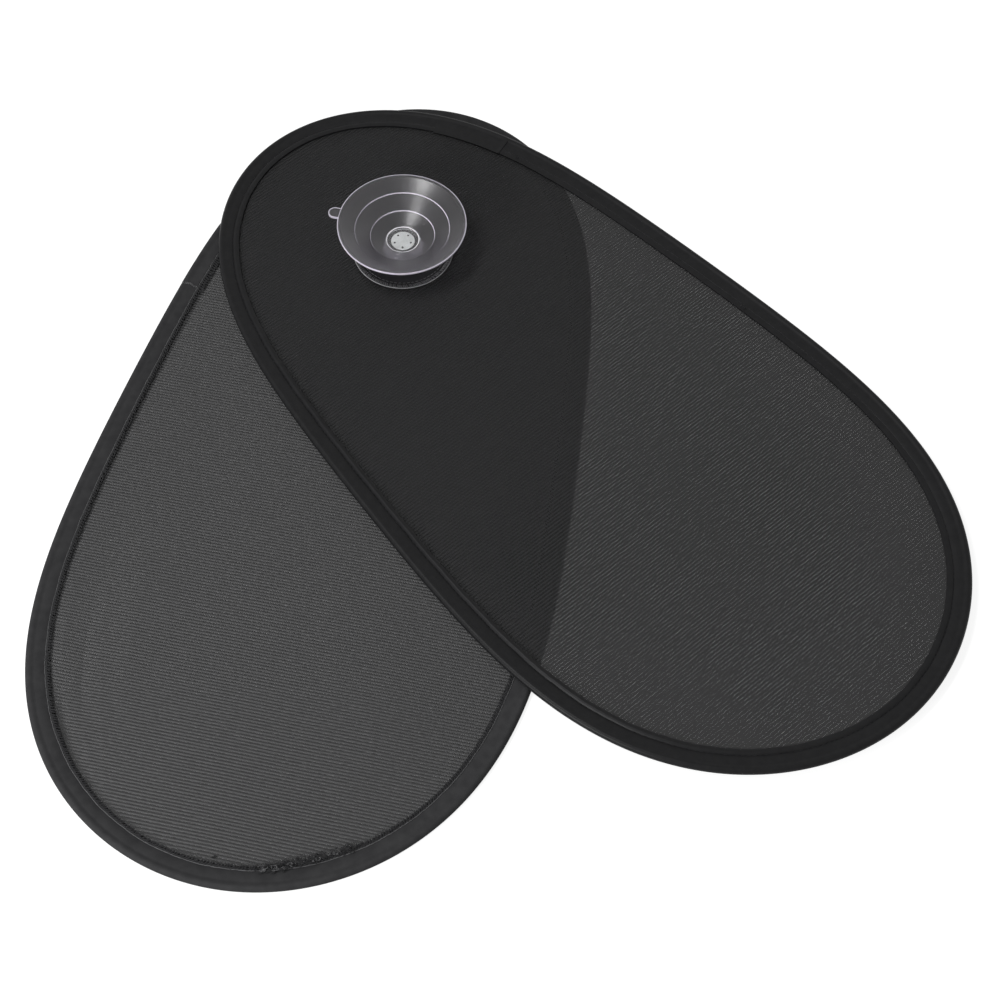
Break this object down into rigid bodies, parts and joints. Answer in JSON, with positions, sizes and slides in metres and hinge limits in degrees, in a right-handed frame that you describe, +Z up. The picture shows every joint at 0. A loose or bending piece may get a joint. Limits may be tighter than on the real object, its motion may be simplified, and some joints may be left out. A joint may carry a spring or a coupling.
{
  "type": "car side window sunshade",
  "caption": "Fan-out side window sunshade: egg-shaped black mesh panels on spring hoops that swivel about one clear suction cup.",
  "frame": {"origin": "middle of the bounding box, on the surface that the rear panel rests on", "axes": "+Z up, the way the suction cup's mouth faces; -Y along the middle of the fan, from the cup to the wide ends; +X to the front panel's side"},
  "size_m": [0.4026, 0.3922, 0.0255],
  "materials": {
    "knit_mesh": "fine ribbed see-through black knit",
    "edge_tape": "plain woven black binding tape, satin",
    "patch_fabric": "dense black fabric with an overlocked edge",
    "spring_steel": "drawn spring wire",
    "clear_vinyl": "clear soft vinyl, glossy, faint lilac edge",
    "pale_nylon": "pale grey moulded nylon",
    "clear_nylon": "clear moulded washer"
  },
  "bodies": {
    "rear_panel": {"rear_mesh": "knit_mesh", "rear_binding": "edge_tape", "rear_wire_hoop": "spring_steel", "rear_patch": "patch_fabric", "rivet_cap": "pale_nylon", "pivot_rivet": "pale_nylon", "swivel_washer": "pale_nylon", "top_washer": "clear_nylon"},
    "front_panel": {"front_mesh": "knit_mesh", "front_binding": "edge_tape", "front_wire_hoop": "spring_steel", "front_patch": "patch_fabric"},
    "suction_cup": {"suction_cup": "clear_vinyl"}
  },
  "joints": [
    {"name": "front_panel_swivel", "type": "hinge", "parent": "rear_panel", "child": "front_panel", "pos_m": [0, 0.10468, 0.0057], "axis": [0, 0, 1], "continuous": true},
    {"name": "suction_cup_swivel", "type": "hinge", "parent": "rear_panel", "child": "suction_cup", "pos_m": [0, 0.10468, 0.0112], "axis": [0, 0, 1], "continuous": true}
  ]
}
